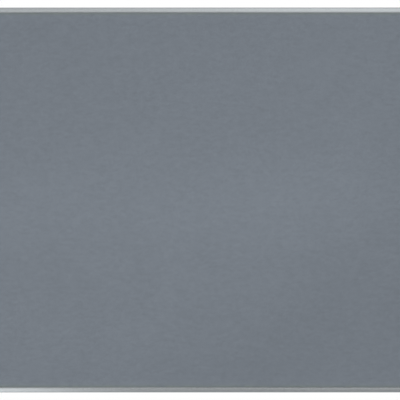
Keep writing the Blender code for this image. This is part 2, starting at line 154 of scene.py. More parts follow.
class NOTICEBOARD_PG_fittings(bpy.types.PropertyGroup):
    plastic: colour("Plastic", (0.385, 0.402, 0.415), "Colour of the moulded corners")
    plastic_grain: length("Plastic Grain", 0.00022, "Size of the grain moulded into the plastic")
    zinc: colour("Zinc", (0.600, 0.605, 0.600), "Colour of the zinc plating")
    rubber: colour("Rubber", (0.024, 0.024, 0.026), "Colour of the rubber bumpers")
    moulded_edge: length("Moulded Edge", 0.00018, "Width of the rounding along moulded edges")
    plated_edge: length("Plated Edge", 0.00009, "Width of the break along plated edges")


class NOTICEBOARD_PG_panel(bpy.types.PropertyGroup):
    softboard: colour("Softboard", (0.400, 0.290, 0.175), "Colour of the soft fibre board")
    hardboard: colour("Hardboard", (0.215, 0.118, 0.060), "Colour of the hardboard back")
    mesh_pitch: length("Mesh Pitch", 0.0016, "Spacing of the screen pattern pressed into the back")
    soft_edge: length("Soft Edge", 0.00020, "Width of the rounding along sawn edges")


class NOTICEBOARD_PG_age(bpy.types.PropertyGroup):
    dust: colour("Dust", (0.50, 0.49, 0.47), "Colour of settled dust")
    rail_dust: share("Rail Dust", 0.12, "How thick the dust lies on the rails")
    fitting_dust: share("Fitting Dust", 0.28, "How thick the dust lies on corners and fixings")
    rubber_dust: share("Rubber Dust", 0.18, "How thick the dust lies on the bumpers")
    rubbed_width: length("Rubbed Width", 0.0006, "Width of the rubbed strip along an edge")
    scratch_width: length("Scratch Width", 0.00025, "Spacing that hairline scratches are drawn at")


class NOTICEBOARD_PG_stage(bpy.types.PropertyGroup):
    view_height: length("View Height", 0.9350, "Height of the picture in the plane of the felt")
    lens: FloatProperty(name="Lens", description="Focal length of the camera", default=100, unit="CAMERA")
    floor_drop: length("Floor Drop", 0.45, "Height of the board above the floor")
    floor_reach: length("Floor Reach", 3.00, "Radius of the floor")
    floor: colour("Floor", (0.86, 0.86, 0.86), "Colour of the floor")
    room_light: brightness("Room Light", 0.585, "Brightness of the even light from the room")
    key_light: brightness("Key Light", 0.190, "Light of the key lamp on the face of the board")
    pool_light: brightness("Pool Light", 0.075, "Light of the pool that leaves the lower right darker")
    band_light: brightness("Band Light", 0.062, "Light of the band across the middle of the felt")
    rear_light: brightness("Rear Light", 0.17, "Light of the lamp behind the board")
    overhead_light: brightness("Overhead Light", 0.40, "Light of the overhead lamp on the floor")


SETTINGS = {
    "noticeboard_felt": NOTICEBOARD_PG_felt,
    "noticeboard_rails": NOTICEBOARD_PG_rails,
    "noticeboard_fittings": NOTICEBOARD_PG_fittings,
    "noticeboard_panel": NOTICEBOARD_PG_panel,
    "noticeboard_age": NOTICEBOARD_PG_age,
    "noticeboard_stage": NOTICEBOARD_PG_stage,
}


# Node trees


NODE_STEP = 190
NODES_PER_COLUMN = 6

# Sockets of a Mix node that mixes colours
MIX_SHARE, MIX_FIRST, MIX_SECOND = 0, 6, 7
MIX_RESULT = 2

# Noise lies about its middle, and has few values outside the range from low to high
NOISE_LOW, NOISE_MIDDLE, NOISE_HIGH = 0.3, 0.5, 0.7


class Graph:
    """A node tree that takes its nodes one call at a time and feeds their sockets."""

    def __init__(self, tree):
        self.tree = tree

    def node(self, kind, feeds=None, **settings):
        """Adds a node with its settings, feeds its sockets, and lays the nodes out in columns."""
        column, row = divmod(len(self.tree.nodes), NODES_PER_COLUMN)
        node = self.tree.nodes.new(f"ShaderNode{kind}")
        node.location = (column * NODE_STEP, -row * NODE_STEP)
        for name, value in settings.items():
            setattr(node, name, value)
        self.feed(node, feeds or {})
        return node

    def feed(self, node, feeds):
        """Links each socket to the output it is given, or sets it to the value."""
        for socket, value in feeds.items():
            if isinstance(value, bpy.types.NodeSocket):
                self.tree.links.new(value, node.inputs[socket])
            else:
                node.inputs[socket].default_value = value

    def math(self, operation, *values, clamp=False):
        feeds = dict(enumerate(values))
        return self.node("Math", feeds, operation=operation, use_clamp=clamp).outputs[0]

    def plus(self, first, second, clamp=False):
        return self.math("ADD", first, second, clamp=clamp)

    def minus(self, first, second, clamp=False):
        return self.math("SUBTRACT", first, second, clamp=clamp)

    def times(self, first, second, clamp=False):
        return self.math("MULTIPLY", first, second, clamp=clamp)

    def over(self, first, second):
        return self.math("DIVIDE", first, second)

    def larger(self, first, second):
        return self.math("MAXIMUM", first, second)

    def vector(self, operation, first, second):
        return self.node("VectorMath", {0: first, 1: second}, operation=operation).outputs[0]

    def dot(self, first, second):
        feeds = {0: first, 1: second}
        return self.node("VectorMath", feeds, operation="DOT_PRODUCT").outputs["Value"]

    def scaled(self, vector, scale):
        feeds = {0: vector, "Scale": scale}
        return self.node("VectorMath", feeds, operation="SCALE").outputs[0]

    def ranged(self, value, start, end, low=0.0, high=1.0, smooth=False):
        feeds = {"Value": value, "From Min": start, "From Max": end, "To Min": low, "To Max": high}
        kind = "SMOOTHSTEP" if smooth else "LINEAR"
        return self.node("MapRange", feeds, interpolation_type=kind).outputs[0]

    def graded(self, mask, at_none, at_full):
        """A value that goes from one end to the other as a mask goes from 0 to 1."""
        return self.ranged(mask, 0.0, 1.0, at_none, at_full)

    def noise(self, vector, size, detail=2.0, roughness=0.5, distortion=0.0):
        """Soft noise about 0.5, whose broadest patches are of the size."""
        scale = self.over(1.0, size) if isinstance(size, bpy.types.NodeSocket) else 1 / size
        feeds = {
            "Vector": vector,
            "Scale": scale,
            "Detail": detail,
            "Roughness": roughness,
            "Distortion": distortion,
        }
        return self.node("TexNoise", feeds).outputs[0]

    def spread(self, noise_value, low, high):
        """Noise spread over a range of its own."""
        return self.ranged(noise_value, NOISE_LOW, NOISE_HIGH, low, high)

    def specks(self, vector, size, strength, start=0.60, full=0.72):
        """Small separate spots: 0 between them, and the strength within."""
        return self.ranged(self.noise(vector, size), start, full, 0.0, strength)

    def mixed(self, share_of_second, first, second):
        feeds = {MIX_SHARE: share_of_second, MIX_FIRST: opaque(first), MIX_SECOND: opaque(second)}
        return self.node("Mix", feeds, data_type="RGBA").outputs[MIX_RESULT]

    def shaded(self, tint, value):
        """A colour with its brightness multiplied by a value."""
        feeds = {MIX_SHARE: 1.0, MIX_FIRST: opaque(tint), MIX_SECOND: value}
        return self.node("Mix", feeds, data_type="RGBA", blend_type="MULTIPLY").outputs[MIX_RESULT]

    def bump(self, height, distance, strength=1.0, normal=None):
        feeds = {"Height": height, "Distance": distance, "Strength": strength}
        if normal is not None:
            feeds["Normal"] = normal
        return self.node("Bump", feeds).outputs["Normal"]

    def facing(self):
        """The way that the surface faces."""
        return self.node("NewGeometry").outputs["Normal"]

    def place(self):
        """The place on the piece itself, so that a finish stays with it when it moves."""
        return self.node("TexCoord").outputs["Object"]

    def effect(self, group, **feeds):
        """One of the shared effects, with its sockets named by the keywords."""
        node = self.node("Group", node_tree=group)
        self.feed(node, {socket.replace("_", " ").title(): value for socket, value in feeds.items()})
        return node.outputs[0]


def opaque(tint):
    """A colour value with full alpha. A socket is passed on as it is."""
    return tint if isinstance(tint, bpy.types.NodeSocket) else (*tint, 1.0)


# Effects that more than one finish uses


def shared_effect(name, inputs, output, build):
    """A shader node group, built once. Its inputs are named with their kinds."""
    group = bpy.data.node_groups.get(name)
    if group is None:
        group = bpy.data.node_groups.new(name, "ShaderNodeTree")
        for socket, kind in inputs.items():
            group.interface.new_socket(socket, in_out="INPUT", socket_type=f"NodeSocket{kind}")
        group.interface.new_socket(output, in_out="OUTPUT", socket_type="NodeSocketFloat")
        entry = group.nodes.new("NodeGroupInput")
        result = build(Graph(group), entry.outputs)
        group.links.new(result, group.nodes.new("NodeGroupOutput").inputs[0])
    return group


def fibre_web():
    """Matted fibres that lie every way in the plane of the board: 1 on a fibre, 0 between them."""

    turns = (0.35, 1.25, 2.20, 2.85)
    thinness = 6.0
    bend = 0.55

    def build(graph, entry):
        long, thin = entry["Fibre Length"], entry["Fibre Width"]
        size = graph.node("CombineXYZ", {"X": long, "Y": thin, "Z": thin}).outputs[0]
        feeds = {"Vector": entry["Vector"], "Scale": graph.over(1.0, long), "Detail": 1.0}
        drift = graph.node("TexNoise", feeds).outputs["Color"]
        wander = graph.vector("SUBTRACT", drift, (NOISE_MIDDLE,) * 3)
        curled = graph.vector("ADD", entry["Vector"], graph.scaled(wander, graph.times(long, bend)))
        web = 0.0
        for turn in turns:
            feeds = {"Vector": curled, "Axis": BACK, "Angle": turn}
            turned = graph.node("VectorRotate", feeds, rotation_type="AXIS_ANGLE").outputs[0]
            fibres = graph.noise(graph.vector("DIVIDE", turned, size), size=1.0, detail=1.0)
            from_ridge = graph.math("ABSOLUTE", graph.minus(fibres, NOISE_MIDDLE))
            ridge = graph.minus(1.0, graph.times(from_ridge, thinness / NOISE_MIDDLE), clamp=True)
            web = graph.larger(ridge, web)
        return web

    inputs = {"Vector": "Vector", "Fibre Length": "Float", "Fibre Width": "Float"}
    return shared_effect("Fibre Web", inputs, "Web", build)


def drawn_lines():
    """Lines along a direction, as a die leaves them: about 0, and up to 0.5 each way."""

    pitches_long = 900.0

    def build(graph, entry):
        along = entry["Along"]
        lengthwise = graph.scaled(along, graph.dot(entry["Vector"], along))
        across = graph.vector("SUBTRACT", entry["Vector"], lengthwise)
        per_pitch = graph.over(1.0, entry["Pitch"])
        shortened = graph.scaled(lengthwise, graph.over(per_pitch, pitches_long))
        place = graph.vector("ADD", graph.scaled(across, per_pitch), shortened)
        return graph.minus(graph.noise(place, size=1.0, detail=3.0, roughness=0.6), NOISE_MIDDLE)

    inputs = {"Vector": "Vector", "Along": "Vector", "Pitch": "Float"}
    return shared_effect("Drawn Lines", inputs, "Lines", build)


def edge_wear():
    """Where an edge is handled and rubbed: 1 on the edge, 0 away from it, broken up by noise."""

    samples = 4
    bend_start, bend_full = 0.02, 0.20
    patch_size = 0.0055
    least, most = 0.3, 0.95

    def build(graph, entry):
        rounded = graph.node("Bevel", {"Radius": entry["Width"]}, samples=samples).outputs[0]
        bend = graph.minus(1.0, graph.dot(rounded, graph.facing()))
        edge = graph.ranged(bend, bend_start, bend_full)
        patches = graph.noise(entry["Vector"], patch_size, detail=3.0)
        return graph.times(edge, graph.spread(patches, least, most))

    return shared_effect("Edge Wear", {"Vector": "Vector", "Width": "Float"}, "Wear", build)


def settled_dust():
    """Dust on what faces up, a thin film with motes, and thicker in corners: 0 where it is clean."""

    samples = 4
    corner_reach = 0.006
    corner_open, corner_closed = 0.9, 0.4
    corner_share = 0.35
    tilt_bare, tilt_full = 0.25, 0.95
    film_size, film_least, film_most = 0.022, 0.25, 0.70
    mote_size, mote_strength = 0.00067, 0.6
    mote_start, mote_full = 0.66, 0.74

    def build(graph, entry):
        at = entry["Vector"]
        upward = graph.ranged(graph.dot(graph.facing(), UP), tilt_bare, tilt_full)
        feeds = {"Distance": corner_reach}
        light = graph.node("AmbientOcclusion", feeds, samples=samples).outputs["AO"]
        cornered = graph.ranged(light, corner_open, corner_closed)
        film = graph.spread(graph.noise(at, film_size, detail=4.0), film_least, film_most)
        motes = graph.specks(at, mote_size, mote_strength, mote_start, mote_full)
        laid = graph.times(upward, graph.plus(graph.plus(film, motes), cornered))
        thickest = graph.larger(laid, graph.times(cornered, corner_share))
        return graph.times(thickest, entry["Amount"], clamp=True)

    return shared_effect("Settled Dust", {"Vector": "Vector", "Amount": "Float"}, "Dust", build)


def fine_scratches():
    """Hairline scratches in two directions: 1 in a scratch."""

    ways = ((0.5, 0.9, 0.2), (2.1, 0.3, 1.1))
    stretch = (0.012, 1.0, 1.0)
    scratch_start, scratch_full = 0.70, 0.73

    def build(graph, entry):
        scratches = 0.0
        for way in ways:
            feeds = {"Vector": entry["Vector"], "Rotation": way}
            turned = graph.node("VectorRotate", feeds, rotation_type="EULER_XYZ").outputs[0]
            place = graph.vector("MULTIPLY", turned, stretch)
            lines = graph.noise(place, entry["Width"], detail=0.0)
            scratches = graph.larger(graph.ranged(lines, scratch_start, scratch_full), scratches)
        return scratches

    return shared_effect("Fine Scratches", {"Vector": "Vector", "Width": "Float"}, "Scratches", build)


# Finishes


def finish(name, build):
    """The material of one finish, made once. Its build gives what feeds the Principled shader."""
    material = bpy.data.materials.get(name)
    if material is None:
        material = bpy.data.materials.new(name)
        material.use_nodes = True
        graph = Graph(material.node_tree)
        graph.feed(material.node_tree.nodes["Principled BSDF"], build(graph, graph.place()))
    return material


def rubbed(graph, at, age, tint, pale_tint, strength):
    """A colour that is paler along handled edges."""
    wear = graph.effect(edge_wear(), vector=at, width=age.rubbed_width)
    return graph.mixed(graph.times(wear, strength), tint, pale_tint)


def near_edge(graph, at, half_size, width):
    """1 on the edge of a centred upright sheet, 0 farther in than the width."""
    parts = graph.node("SeparateXYZ", {0: at}).outputs
    nearest = 0.0
    for part, half in (("X", half_size.x), ("Z", half_size.z)):
        outward = graph.math("ABSOLUTE", parts[part])
        nearest = graph.larger(graph.ranged(outward, half - width, half), nearest)
    return nearest


def felt_finish(felt, half_size):
    """Needle felt: matted grey fibres and flecks, a soft nap, a rim of painted light, and dirt and
    painted shadow along the frame.
    """

    stray_tint = (0.30, 0.32, 0.34)
    stray_size, stray_strength = 0.00038, 0.35
    grime_tint = (0.193, 0.234, 0.163)
    grime_least, grime_most = 0.6, 1.4
    # Painted shadow: the felt is darkened in a strip next to the frame's lip.
    shadow_line_start, shadow_line_shade = 0.32, 0.22
    cloud_size, cloud = 0.11, 0.012
    web_shade = 0.2
    painted_rim_fall = 2.0
    nap_depth, nap_strength = 0.0006, 0.25
    web_depth, web_strength = 0.00012, 0.6
    matt, on_fibre = 1.0, 0.88
    sheen_tint = (0.75, 0.80, 0.86)

    def build(graph, at):
        long, thin = felt.fibre_length, felt.fibre_width
        web = graph.effect(fibre_web(), vector=at, fibre_length=long, fibre_width=thin)
        patch = (felt.mottle_width, felt.mottle_width, felt.mottle_height)
        patches = graph.noise(graph.vector("DIVIDE", at, patch), size=1.0)
        wander = graph.spread(patches, 1 - felt.mottle, 1 + felt.mottle)
        drift = graph.spread(graph.noise(at, cloud_size), 1 - cloud, 1 + cloud)
        fleck = graph.ranged(web, web_shade, 1.0, 1 - felt.fleck, 1 + felt.fleck)
        # Painted light: the felt is lightened along its rim, beside the frame.
        rim = graph.math("POWER", near_edge(graph, at, half_size, felt.painted_rim_width), painted_rim_fall)
        # This edge mask places both the grime tint and the painted shadow beside the frame.
        grime_and_shadow_edge = near_edge(graph, at, half_size, felt.grime_and_shadow_width)
        # Painted shadow of the frame's lip, darkest at the felt's edge.
        line = graph.ranged(grime_and_shadow_edge, shadow_line_start, 1.0, 0.0, shadow_line_shade)
        painted_edge_light_and_shade = graph.minus(graph.plus(1.0, graph.times(rim, felt.painted_rim_light)), line)
        shade = graph.times(graph.times(wander, drift), graph.times(fleck, painted_edge_light_and_shade))
        strays = graph.specks(at, stray_size, stray_strength)
        strayed = graph.mixed(strays, felt.colour[:], stray_tint)
        laid = graph.spread(patches, felt.grime * grime_least, felt.grime * grime_most)
        grimy = graph.times(grime_and_shadow_edge, laid)
        nap = graph.bump(patches, nap_depth, nap_strength)
        return {
            "Base Color": graph.shaded(graph.mixed(grimy, strayed, grime_tint), shade),
            "Roughness": graph.graded(web, matt, on_fibre),
            "Specular IOR Level": 0.25,
            "Sheen Weight": 0.12,
            "Sheen Roughness": 0.5,
            "Sheen Tint": opaque(sheen_tint),
            "Normal": graph.bump(web, web_depth, web_strength, normal=nap),
        }

    return finish("grey needle felt", build)


def aluminium_finish(rails, age, name, along):
    """Satin anodised aluminium drawn along one direction, with the lines that the die leaves."""

    pale_tint, wear = (0.68, 0.70, 0.71), 0.35
    fine_per_broad = 9
    broad_pitch = fine_per_broad * rails.line_pitch
    fine_share, broad_share = 0.6, 0.4
    line_tone, line_roughness = 0.16, 0.16
    cloud_size, cloud = 0.07, 0.015
    scratch_polish = 0.05
    dust_cover, dust_roughness = 0.8, 0.5

    def build(graph, at):
        fine = graph.effect(drawn_lines(), vector=at, along=along, pitch=rails.line_pitch)
        broad = graph.effect(drawn_lines(), vector=at, along=along, pitch=broad_pitch)
        lines = graph.plus(graph.times(fine, fine_share), graph.times(broad, broad_share))
        clouded = graph.spread(graph.noise(at, cloud_size, detail=3.0), 1 - cloud, 1 + cloud)
        drawn = graph.shaded(rails.colour[:], graph.plus(clouded, graph.times(lines, line_tone)))
        worn = rubbed(graph, at, age, drawn, pale_tint, wear)
        dust = graph.effect(settled_dust(), vector=at, amount=age.rail_dust)
        scratches = graph.effect(fine_scratches(), vector=at, width=age.scratch_width)
        lined = graph.plus(rails.roughness, graph.times(lines, line_roughness))
        scratched = graph.minus(lined, graph.times(scratches, scratch_polish))
        return {
            "Base Color": graph.mixed(dust, worn, age.dust[:]),
            "Metallic": graph.minus(1.0, graph.times(dust, dust_cover)),
            "Roughness": graph.plus(scratched, graph.times(dust, dust_roughness), clamp=True),
            "Anisotropic": rails.grain,
            "Tangent": graph.vector("CROSS_PRODUCT", graph.facing(), along),
            "Normal": graph.bump(lines, rails.line_depth),
        }

    return finish(name, build)


def plastic_finish(fittings, age):
    """Moulded plastic with a spark-eroded grain, a few scuffs, and dust in its cored back."""

    pale_tint, wear = (0.56, 0.575, 0.585), 0.30
    flow_size, flow, flow_swirl = 0.017, 0.03, 1.2
    grain_tone, grain_finest = 0.03, 0.6
    scuff, scuff_depth = 0.20, 0.4
    polished, matt = 0.44, 0.58
    relief_depth, relief_strength = 0.00002, 0.8

    def build(graph, at):
        grain = graph.noise(at, fittings.plastic_grain, roughness=grain_finest)
        flowed = graph.spread(graph.noise(at, flow_size, distortion=flow_swirl), 1 - flow, 1 + flow)
        shade = graph.plus(flowed, graph.spread(grain, -grain_tone, grain_tone))
        moulded = graph.shaded(fittings.plastic[:], shade)
        worn = rubbed(graph, at, age, moulded, pale_tint, wear)
        scratches = graph.effect(fine_scratches(), vector=at, width=age.scratch_width)
        scuffed = graph.mixed(graph.times(scratches, scuff), worn, pale_tint)
        dust = graph.effect(settled_dust(), vector=at, amount=age.fitting_dust)
        relief = graph.minus(grain, graph.times(scratches, scuff_depth))
        return {
            "Base Color": graph.mixed(dust, scuffed, age.dust[:]),
            "Roughness": graph.spread(grain, polished, matt),
            "Specular IOR Level": 0.5,
            "Normal": graph.bump(relief, relief_depth, relief_strength),
        }

    return finish("moulded plastic", build)


def zinc_finish(fittings, age):
    """Bright zinc plating with a faint blue and yellow bloom, and marks from barrel plating."""

    pale_tint, wear = (0.78, 0.78, 0.77), 0.5
    yellow_bloom, blue_bloom = (0.66, 0.62, 0.53), (0.55, 0.61, 0.70)
    bloom_size, bloom_swirl, bloom_share = 0.014, 0.8, 0.5
    all_yellow, all_blue = -0.2, 1.2
    knock_size, knock_finest = 0.0011, 0.65
    knock_shade, knock_light = 0.93, 1.05
    scratch_depth = 0.5
    bright, dull = 0.24, 0.42
    relief_depth, relief_strength = 0.00001, 0.7
    dust_cover, dust_roughness = 0.8, 0.4

    def build(graph, at):
        bloom = graph.noise(at, bloom_size, detail=3.0, distortion=bloom_swirl)
        knocks = graph.noise(at, knock_size, detail=3.0, roughness=knock_finest)
        tint = graph.mixed(graph.spread(bloom, all_yellow, all_blue), yellow_bloom, blue_bloom)
        plated = graph.mixed(bloom_share, fittings.zinc[:], tint)
        knocked = graph.shaded(plated, graph.spread(knocks, knock_shade, knock_light))
        worn = rubbed(graph, at, age, knocked, pale_tint, wear)
        scratches = graph.effect(fine_scratches(), vector=at, width=age.scratch_width)
        dust = graph.effect(settled_dust(), vector=at, amount=age.fitting_dust)
        roughness = graph.spread(knocks, bright, dull)
        relief = graph.minus(knocks, graph.times(scratches, scratch_depth))
        return {
            "Base Color": graph.mixed(dust, worn, age.dust[:]),
            "Metallic": graph.minus(1.0, graph.times(dust, dust_cover)),
            "Roughness": graph.plus(roughness, graph.times(dust, dust_roughness), clamp=True),
            "Normal": graph.bump(relief, relief_depth, relief_strength),
        }

    return finish("zinc plating", build)


def rubber_finish(fittings, age):
    """Black rubber with a slight bloom, greyed where it is rubbed, under a little dust."""

    pale_tint, wear = (0.085, 0.083, 0.080), 0.4
    bloom_tint, bloom_size = (0.060, 0.059, 0.058), 0.0062
    bloom_least, bloom_most = -0.17, 0.51
    skin_size, skin_finest = 0.00062, 0.6
    skin_depth, skin_strength = 0.00003, 0.8
    smooth_skin, rough_skin = 0.62, 0.85

    def build(graph, at):
        skin = graph.noise(at, skin_size, detail=3.0, roughness=skin_finest)
        bloom = graph.spread(graph.noise(at, bloom_size, detail=3.0), bloom_least, bloom_most)
        bloomed = graph.mixed(bloom, fittings.rubber[:], bloom_tint)
        worn = rubbed(graph, at, age, bloomed, pale_tint, wear)
        dust = graph.effect(settled_dust(), vector=at, amount=age.rubber_dust)
        return {
            "Base Color": graph.mixed(dust, worn, age.dust[:]),
            "Roughness": graph.spread(skin, smooth_skin, rough_skin),
            "Specular IOR Level": 0.4,
            "Normal": graph.bump(skin, skin_depth, skin_strength),
        }

    return finish("bumper rubber", build)


def hardboard_finish(panel):
    """Hardboard with the pattern of the wire screen that it was pressed on, and dark fibres."""

    fibre_tint, fibre_strength = (0.33, 0.20, 0.11), 0.45
    fibre_length, fibre_width = 0.004, 0.0003
    bark_tint, bark_strength = (0.09, 0.048, 0.026), 0.55
    bark_size = 0.0014
    cloud_size, cloud = 0.14, 0.04
    hollow_shade, wire_light = 0.88, 1.06
    screen_depth, screen_strength = 0.00018, 0.7
    web_depth, web_strength = 0.0001, 0.4
    matt, on_fibre = 0.92, 0.74

    def build(graph, at):
        wires = []
        for way in (RIGHT, UP):
            turns = graph.times(graph.dot(at, way), math.tau / panel.mesh_pitch)
            wires.append(graph.math("SINE", turns))
        screen = graph.larger(*wires)
        web = graph.effect(fibre_web(), vector=at, fibre_length=fibre_length, fibre_width=fibre_width)
        fibrous = graph.mixed(graph.times(web, fibre_strength), panel.hardboard[:], fibre_tint)
        barky = graph.mixed(graph.specks(at, bark_size, bark_strength), fibrous, bark_tint)
        clouded = graph.spread(graph.noise(at, cloud_size, detail=4.0), 1 - cloud, 1 + cloud)
        pattern = graph.ranged(screen, -1.0, 1.0, hollow_shade, wire_light)
        shade = graph.times(clouded, pattern)
        pressed = graph.bump(screen, screen_depth, screen_strength)
        return {
            "Base Color": graph.shaded(barky, shade),
            "Roughness": graph.graded(web, matt, on_fibre),
            "Specular IOR Level": 0.3,
            "Normal": graph.bump(web, web_depth, web_strength, normal=pressed),
        }

    return finish("screen-backed hardboard", build)


def softboard_finish(panel):
    """Soft wood-fibre board: loose pale fibres with darker bark specks."""

    fibre_tint, fibre_strength = (0.56, 0.43, 0.28), 0.6
    fibre_length, fibre_width = 0.005, 0.0004
    bark_tint, bark_strength = (0.17, 0.10, 0.055), 1.0
    bark_size = 0.002
    cloud_size, cloud = 0.05, 0.065
    web_depth, web_strength = 0.0003, 0.7
    matt, on_fibre = 1.0, 0.85

    def build(graph, at):
        web = graph.effect(fibre_web(), vector=at, fibre_length=fibre_length, fibre_width=fibre_width)
        fibrous = graph.mixed(graph.times(web, fibre_strength), panel.softboard[:], fibre_tint)
        barky = graph.mixed(graph.specks(at, bark_size, bark_strength), fibrous, bark_tint)
        clouded = graph.spread(graph.noise(at, cloud_size, detail=3.0), 1 - cloud, 1 + cloud)
        return {
            "Base Color": graph.shaded(barky, clouded),
            "Roughness": graph.graded(web, matt, on_fibre),
            "Specular IOR Level": 0.2,
            "Normal": graph.bump(web, web_depth, web_strength),
        }

    return finish("softboard", build)


# Pieces


FLAT_ANGLE = math.radians(0.3)
SHARP_ANGLE = math.radians(16.5)
QUARTER_TURN = math.radians(90)
WELD_DISTANCE = 0.000005
EDGE_STEPS = 2


def dress(names, material, soft_edge):
    """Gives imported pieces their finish, smooth curved faces, and a small break along sharp edges."""
    for name in names:
        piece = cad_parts[name]
        piece.data.materials.clear()
        piece.data.materials.append(material)
        smooth(piece.data)
        weld = piece.modifiers.new("weld", "WELD")
        weld.merge_threshold = WELD_DISTANCE
        merge = piece.modifiers.new("merge flat faces", "DECIMATE")
        merge.decimate_type = "DISSOLVE"
        merge.angle_limit = FLAT_ANGLE
        bevel = piece.modifiers.new("soft edge", "BEVEL")
        bevel.width = soft_edge
        bevel.segments = EDGE_STEPS
        bevel.angle_limit = SHARP_ANGLE
        bevel.use_clamp_overlap = True
        normals = piece.modifiers.new("face normals", "WEIGHTED_NORMAL")
        normals.keep_sharp = True


def smooth(mesh):
    """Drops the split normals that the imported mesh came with, so that curved faces shade smoothly."""
    for leftover in ("custom_normal", "sharp_edge", "sharp_face"):
        if leftover in mesh.attributes:
            mesh.attributes.remove(mesh.attributes[leftover])
    mesh.shade_smooth()


def felt_mesh(low, high, felt):
    """A closed sheet: a finely meshed, slightly uneven face, a plain back, and sides between them."""
    size, middle = high - low, (low + high) / 2
    upright = Matrix.Rotation(QUARTER_TURN, 4, "X")
    stretched = Matrix.Diagonal((size.x, size.z, 1, 1))
    work = bmesh.new()
    bmesh.ops.create_grid(
        work,
        x_segments=round(size.x / felt.grid),
        y_segments=round(size.z / felt.grid),
        size=0.5,
        matrix=Matrix.Translation((middle.x, low.y, middle.z)) @ upright @ stretched,
    )
    face = list(work.verts)
    rim = [edge for edge in work.edges if edge.is_boundary]
    sides = bmesh.ops.extrude_edge_only(work, edges=rim)["geom"]
    rear_points = [part for part in sides if isinstance(part, bmesh.types.BMVert)]
    bmesh.ops.translate(work, vec=(0, size.y, 0), verts=rear_points)
    rear_rim = [part for part in sides if isinstance(part, bmesh.types.BMEdge) and part.is_boundary]
    bmesh.ops.contextual_create(work, geom=rear_rim)
    for point in face:
        point.co.y += felt.unevenness * sinking(point.co, felt.seed)
    bmesh.ops.recalc_face_normals(work, faces=work.faces)
    mesh = bpy.data.meshes.new("felt sheet")
    work.to_mesh(mesh)
    work.free()
    mesh.shade_smooth()
    mesh.set_sharp_from_angle(angle=SHARP_ANGLE)
    return mesh


def sinking(point, seed):
    """How far a point of the felt's face sinks: broad hollows with small lumps, mostly 0 to 1."""
    middle = 0.5
    hollow, hollow_size = 0.5, 0.11
    lump, lump_size = 0.35, 0.009
    fall_off, finer_by, layers = 1.0, 2.0, 2
    start = Vector((seed, seed, seed))
    hollows = noise.noise(point / hollow_size + start)
    lumps = noise.fractal(point / lump_size + start, fall_off, finer_by, layers)
    return middle + hollow * hollows + lump * lumps


# The stage


class Softbox(NamedTuple):
    """A soft area lamp: the stage setting that holds its light, its place and aim, and its size."""

    setting: str
    place: tuple
    target: tuple
    width: float
    height: float


SOFTBOXES = {
    "key lamp": Softbox("key_light", (0.3, -3.2, -0.62), (0, 0, 0), width=2.4, height=0.5),
    "rear lamp": Softbox("rear_light", (0.9, 3.4, 1.3), (0, 0, 0), width=2.0, height=1.6),
    "overhead lamp": Softbox("overhead_light", (0, 0.5, 3.0), (0, 0.3, -0.9), width=2.4, height=2.0),
}

POOL_CENTRE = (-0.50, 0, 0.60)
POOL_RADIUS = 1.12
POOL_BLEND = 0.12
POOL_LAMP_PLACE = (-0.50, -6.0, 0.60)
POOL_LAMP_RADIUS = 0.12

BAND_HEIGHT = -0.01
BAND_LAMP_DISTANCE = 0.15
BAND_LAMP_LENGTH = 3.0
BAND_LAMP_WIDTH = 0.02

FLOOR_SIDES = 128
FLOOR_FADE_START, FLOOR_FADE_END = 0.9, 1.8


def shown(obj):
    bpy.context.scene.collection.objects.link(obj)
    return obj


def aimed(obj, place, target):
    """Puts a camera or lamp at a place, looking at a target."""
    obj.location = place
    obj.rotation_euler = (Vector(target) - Vector(place)).to_track_quat("-Z", "Y").to_euler()
    return shown(obj)


def camera(stage):
    """A long lens square to the board, at the distance that shows the view height."""
    lens = bpy.data.cameras.new("camera")
    lens.lens = stage.lens
    distance = stage.view_height * stage.lens / lens.sensor_width
    felt = FELT_BOX[0].y
    eye = aimed(bpy.data.objects.new("camera", lens), (0, felt - distance, 0), (0, felt, 0))
    bpy.context.scene.camera = eye


def matt_light(lamp, place, target):
    """Places a lamp that lights matt surfaces only. The camera and metal see the studio instead."""
    holder = aimed(bpy.data.objects.new(lamp.name, lamp), place, target)
    holder.visible_camera = False
    holder.visible_glossy = False


def softbox(name, box, light):
    """An area lamp that makes a white surface at its target as bright as the light, a share of white."""
    lamp = bpy.data.lights.new(name, "AREA")
    reach = Vector(box.target) - Vector(box.place)
    lamp.energy = light * math.pi**2 * reach.length_squared
    lamp.shape = "RECTANGLE"
    lamp.size = box.width
    lamp.size_y = box.height
    matt_light(lamp, box.place, box.target)


def light_pool(light):
    """A round pool of light with a soft edge, over the upper left of the board."""
    lamp = bpy.data.lights.new("pool lamp", "SPOT")
    reach = (Vector(POOL_CENTRE) - Vector(POOL_LAMP_PLACE)).length
    every_way = 4 * math.pi
    lamp.energy = light * math.pi * every_way * reach**2
    lamp.spot_size = 2 * math.atan(POOL_RADIUS / reach)
    lamp.spot_blend = POOL_BLEND
    lamp.shadow_soft_size = POOL_LAMP_RADIUS
    matt_light(lamp, POOL_LAMP_PLACE, POOL_CENTRE)


def light_band(light):
    """A long strip lamp close to the felt, which leaves a faint band of light across its middle."""
    lamp = bpy.data.lights.new("band lamp", "AREA")
    lamp.energy = light * math.tau * BAND_LAMP_LENGTH * BAND_LAMP_DISTANCE
    lamp.shape = "RECTANGLE"
    lamp.size = BAND_LAMP_LENGTH
    lamp.size_y = BAND_LAMP_WIDTH
    felt = FELT_BOX[0].y
    matt_light(lamp, (0, felt - BAND_LAMP_DISTANCE, BAND_HEIGHT), (0, felt, BAND_HEIGHT))


def grey(graph, value):
    return graph.node("CombineColor", {0: value, 1: value, 2: value}).outputs[0]


